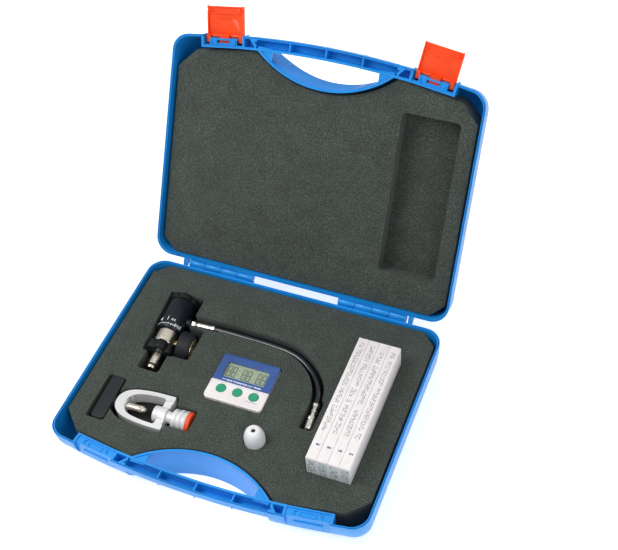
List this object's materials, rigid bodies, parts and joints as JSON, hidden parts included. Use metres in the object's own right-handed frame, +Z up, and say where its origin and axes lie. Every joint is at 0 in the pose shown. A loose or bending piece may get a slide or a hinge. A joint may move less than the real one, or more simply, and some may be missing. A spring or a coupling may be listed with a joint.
{
  "type": "breathing-air test kit in a carry case",
  "caption": "Moulded carry case, open on rear hinges, whose cut foam holds a pressure regulator with gauge and hose, a yoke clamp, a timer, a tube opener and detector-tube cartons.",
  "frame": {"origin": "middle of the flat underside of the case's base half", "axes": "+X across the case to the right as seen from the handle side, +Y from the carry handle towards the hinges and the open lid, +Z up"},
  "size_m": [0.34, 0.4169, 0.2906],
  "materials": {
    "case_blue": "satin",
    "latch_orange": "satin",
    "foam_grey": "matte",
    "steel": "satin",
    "chrome": "polished",
    "warm_silver": "satin",
    "black_coated": "gloss",
    "black_plastic": "satin",
    "black_rubber": "matte",
    "hose_rubber": "gloss",
    "brass": "satin",
    "dial_white": "matte",
    "clear_glass": "polished",
    "pale_alloy": "satin",
    "handle_dark": "satin",
    "cap_orange": "satin",
    "timer_white": "satin",
    "timer_blue": "gloss",
    "lcd_grey": "gloss",
    "board_green": "satin",
    "button_green": "satin",
    "opener_white": "satin",
    "card_white": "matte"
  },
  "bodies": {
    "case": {"case_base": "case_blue", "base_foam": "foam_grey", "hinge_pin_left": "steel", "hinge_pin_right": "steel"},
    "lid": {"case_lid": "case_blue", "lid_foam": "foam_grey", "lid_foam_plug": "foam_grey", "latch_pin_left": "steel", "latch_pin_right": "steel"},
    "left_latch": {"latch_left": "latch_orange"},
    "right_latch": {"latch_right": "latch_orange"},
    "regulator": {"regulator_body": "black_coated", "range_spring": "steel", "piston": "brass", "chrome_body": "chrome", "inlet_nipple": "warm_silver", "nipple_o_ring": "black_rubber", "gauge_stem": "brass", "gauge_boot": "black_rubber", "gauge_case": "brass", "gauge_dial": "dial_white", "gauge_lens": "clear_glass", "hose_union": "chrome", "hose_ferrule": "chrome", "hose": "hose_rubber", "end_ferrule": "chrome", "coupler_body": "chrome"},
    "pressure_knob": {"regulator_knob": "black_plastic", "adjusting_screw": "steel"},
    "hand_wheel": {"inlet_hand_wheel": "black_plastic"},
    "gauge_pointer": {"gauge_needle": "black_plastic"},
    "coupler_collar": {"coupler_sleeve": "chrome"},
    "yoke_adapter": {"yoke_frame": "pale_alloy", "outlet_body": "pale_alloy", "outlet_seal": "black_rubber"},
    "clamp_screw": {"yoke_screw": "steel"},
    "clamp_handle": {"yoke_handle": "handle_dark"},
    "outlet_cap": {"dust_cap": "cap_orange"},
    "timer": {"timer_back": "timer_white", "timer_face": "timer_white", "timer_bezel": "timer_blue", "timer_display": "lcd_grey", "timer_board": "board_green", "timer_cell": "steel"},
    "button_1": {"timer_button_1": "button_green"},
    "button_2": {"timer_button_2": "button_green"},
    "button_3": {"timer_button_3": "button_green"},
    "tube_opener": {"opener_cup": "opener_white", "opener_blade": "steel", "opener_tray": "opener_white"},
    "carton_1": {"tube_carton_1": "card_white", "detector_tubes_1": "clear_glass"},
    "carton_2": {"tube_carton_2": "card_white", "detector_tubes_2": "clear_glass"},
    "carton_3": {"tube_carton_3": "card_white", "detector_tubes_3": "clear_glass"},
    "carton_4": {"tube_carton_4": "card_white", "detector_tubes_4": "clear_glass"}
  },
  "joints": [
    {"name": "lid_hinge", "type": "hinge", "parent": "case", "child": "lid", "pos_m": [0, 0.13405, 0.0438], "axis": [-1, 0, 0], "range_deg": [-119.8, 0], "deforming": ["lid_foam_plug"]},
    {"name": "left_latch_hinge", "type": "hinge", "parent": "lid", "child": "left_latch", "pos_m": [-0.11422, 0.26665, 0.26185], "axis": [-0.992, -0.0627, -0.1095], "range_deg": [-90, 0]},
    {"name": "right_latch_hinge", "type": "hinge", "parent": "lid", "child": "right_latch", "pos_m": [0.11422, 0.26665, 0.26185], "axis": [-0.992, 0.0627, 0.1095], "range_deg": [-90, 0]},
    {"name": "regulator_lift", "type": "slide", "parent": "case", "child": "regulator", "axis": [0, 0, 1], "range_m": [0, 0.06]},
    {"name": "knob_turn", "type": "hinge", "parent": "regulator", "child": "pressure_knob", "pos_m": [-0.11404, 0.08732, 0.03], "axis": [0.0454, -0.999, 0], "range_deg": [0, 1080]},
    {"name": "hand_wheel_turn", "type": "hinge", "parent": "regulator", "child": "hand_wheel", "pos_m": [-0.11098, 0.01988, 0.03], "axis": [0.0454, -0.999, 0], "continuous": true},
    {"name": "gauge_pointer_turn", "type": "hinge", "parent": "regulator", "child": "gauge_pointer", "pos_m": [-0.08493, 0.03408, 0.02578], "axis": [0.9867, 0.0448, -0.1564], "range_deg": [0, 270], "stiffness_Nm_per_rad": 0.001},
    {"name": "coupler_collar_pull", "type": "slide", "parent": "regulator", "child": "coupler_collar", "axis": [-0.0872, 0.9962, 0], "range_m": [0, 0.002], "stiffness_N_per_m": 600},
    {"name": "yoke_lift", "type": "slide", "parent": "case", "child": "yoke_adapter", "axis": [0, 0, 1], "range_m": [0, 0.06]},
    {"name": "clamp_screw_travel", "type": "slide", "parent": "yoke_adapter", "child": "clamp_screw", "axis": [-0.9998, -0.0209, 0], "range_m": [0, 0.003]},
    {"name": "clamp_handle_turn", "type": "hinge", "parent": "clamp_screw", "child": "clamp_handle", "pos_m": [-0.085, -0.0556, 0.0315], "axis": [0.9998, 0.0209, 0], "range_deg": [0, 720]},
    {"name": "outlet_cap_turn", "type": "hinge", "parent": "yoke_adapter", "child": "outlet_cap", "pos_m": [-0.04001, -0.05466, 0.0315], "axis": [0.9998, 0.0209, 0], "continuous": true},
    {"name": "timer_lift", "type": "slide", "parent": "case", "child": "timer", "axis": [0, 0, 1], "range_m": [0, 0.06]},
    {"name": "button_1_press", "type": "slide", "parent": "timer", "child": "button_1", "axis": [0, 0, -1], "range_m": [0, 0.0005], "stiffness_N_per_m": 400},
    {"name": "button_2_press", "type": "slide", "parent": "timer", "child": "button_2", "axis": [0, 0, -1], "range_m": [0, 0.0005], "stiffness_N_per_m": 400},
    {"name": "button_3_press", "type": "slide", "parent": "timer", "child": "button_3", "axis": [0, 0, -1], "range_m": [0, 0.0005], "stiffness_N_per_m": 400},
    {"name": "opener_lift", "type": "slide", "parent": "case", "child": "tube_opener", "axis": [0, 0, 1], "range_m": [0, 0.06]},
    {"name": "carton_1_lift", "type": "slide", "parent": "case", "child": "carton_1", "axis": [0, 0, 1], "range_m": [0, 0.06]},
    {"name": "carton_2_lift", "type": "slide", "parent": "case", "child": "carton_2", "axis": [0, 0, 1], "range_m": [0, 0.06]},
    {"name": "carton_3_lift", "type": "slide", "parent": "case", "child": "carton_3", "axis": [0, 0, 1], "range_m": [0, 0.06]},
    {"name": "carton_4_lift", "type": "slide", "parent": "case", "child": "carton_4", "axis": [0, 0, 1], "range_m": [0, 0.06]}
  ],
  "couplings": [
    {"joint": "clamp_screw_travel", "follows": "clamp_handle_turn", "m_per_rad": 0.0002387}
  ]
}
